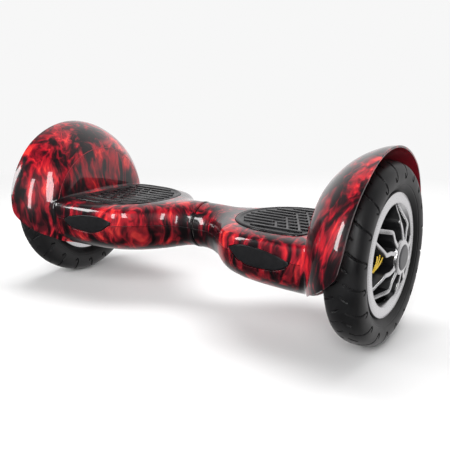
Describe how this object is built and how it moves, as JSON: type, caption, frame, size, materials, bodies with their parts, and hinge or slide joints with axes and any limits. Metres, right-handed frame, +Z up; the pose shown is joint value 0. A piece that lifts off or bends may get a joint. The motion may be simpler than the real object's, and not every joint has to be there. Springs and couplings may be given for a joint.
{
  "type": "self balancing hoverboard",
  "caption": "Self balancing board with twisting halves, ribbed foot mats, domed fenders, spoked hub-motor wheels and front lamps.",
  "frame": {"origin": "on the floor, midway between the two tyres' contact patches", "axes": "+X along the axles to the right-hand wheel, -Y to the front where the lamps are, +Z up"},
  "size_m": [0.6542, 0.2914, 0.274],
  "materials": {
    "casing": "glossy dark red",
    "lens": "smoked",
    "board": "solder mask",
    "socket": "satin black",
    "frame_cast": "as cast",
    "steel": "ground",
    "screws": "black oxide",
    "core_iron": "laminated",
    "copper": "enamelled",
    "bush": "bronze",
    "nylon": "natural",
    "battery_wrap": "heat shrink",
    "bracket": "plated",
    "mat_rubber": "moulded",
    "button": "gloss black",
    "tag": "yellow film",
    "tyre": "satin black",
    "tube_rubber": "butyl",
    "rim_alloy": "polished",
    "bearing": "ground",
    "hub_cap": "satin black",
    "valve": "satin black",
    "cable_sleeve": "braided"
  },
  "bodies": {
    "right_half": {"frame_right": "frame_cast", "pivot_shaft": "steel", "retaining_ring": "steel", "pivot_harness": "cable_sleeve", "top_shell_right": "casing", "bottom_shell_right": "casing", "led_lens_right": "lens", "led_board_right": "board", "sensor_board_right": "board", "main_board": "board", "charge_socket": "socket", "power_switch": "socket", "axle_clamp_right": "frame_cast", "clamp_screws_right": "screws", "axle_right": "steel", "stator_right": "core_iron", "windings_right": "copper", "shell_screws_right": "screws"},
    "left_half": {"frame_left": "frame_cast", "pivot_bush_inner": "bush", "pivot_bush_outer": "bush", "thrust_washer": "nylon", "seam_ring": "casing", "twist_stop_pin": "steel", "top_shell_left": "casing", "bottom_shell_left": "casing", "led_lens_left": "lens", "led_board_left": "board", "sensor_board_left": "board", "battery_pack": "battery_wrap", "battery_bracket": "bracket", "axle_clamp_left": "frame_cast", "clamp_screws_left": "screws", "axle_left": "steel", "stator_left": "core_iron", "windings_left": "copper", "shell_screws_left": "screws"},
    "foot_mat_right": {"foot_mat_right": "mat_rubber"},
    "foot_mat_left": {"foot_mat_left": "mat_rubber"},
    "power_button": {"power_button": "button"},
    "charge_cap": {"charge_cap": "mat_rubber"},
    "right_wheel": {"tyre_right": "tyre", "inner_tube_right": "tube_rubber", "rim_right": "rim_alloy", "magnet_ring_right": "core_iron", "motor_cover_right": "frame_cast", "bearings_right": "bearing", "hub_cap_right": "hub_cap", "cover_screws_right": "screws", "valve_stem_right": "valve", "valve_tag": "tag"},
    "left_wheel": {"tyre_left": "tyre", "inner_tube_left": "tube_rubber", "rim_left": "rim_alloy", "magnet_ring_left": "core_iron", "motor_cover_left": "frame_cast", "bearings_left": "bearing", "hub_cap_left": "hub_cap", "cover_screws_left": "screws", "valve_stem_left": "valve"}
  },
  "joints": [
    {"name": "centre_twist", "type": "hinge", "parent": "right_half", "child": "left_half", "pos_m": [0, 0, 0.1245], "axis": [1, 0, 0], "range_deg": [-12, 12]},
    {"name": "right_wheel_spin", "type": "hinge", "parent": "right_half", "child": "right_wheel", "pos_m": [0.289, 0, 0.127], "axis": [1, 0, 0], "continuous": true},
    {"name": "left_wheel_spin", "type": "hinge", "parent": "left_half", "child": "left_wheel", "pos_m": [-0.289, 0, 0.127], "axis": [1, 0, 0], "continuous": true},
    {"name": "right_mat_press", "type": "slide", "parent": "right_half", "child": "foot_mat_right", "axis": [0, 0, -1], "range_m": [0, 0.0015], "stiffness_N_per_m": 4000},
    {"name": "left_mat_press", "type": "slide", "parent": "left_half", "child": "foot_mat_left", "axis": [0, 0, -1], "range_m": [0, 0.0015], "stiffness_N_per_m": 4000},
    {"name": "power_button_press", "type": "slide", "parent": "right_half", "child": "power_button", "axis": [0, -1, 0], "range_m": [0, 0.0015], "stiffness_N_per_m": 600},
    {"name": "charge_cap_hinge", "type": "hinge", "parent": "right_half", "child": "charge_cap", "pos_m": [0.15, 0.1091, 0.1245], "axis": [1, 0, 0], "range_deg": [0, 110], "stiffness_Nm_per_rad": 0.02}
  ]
}
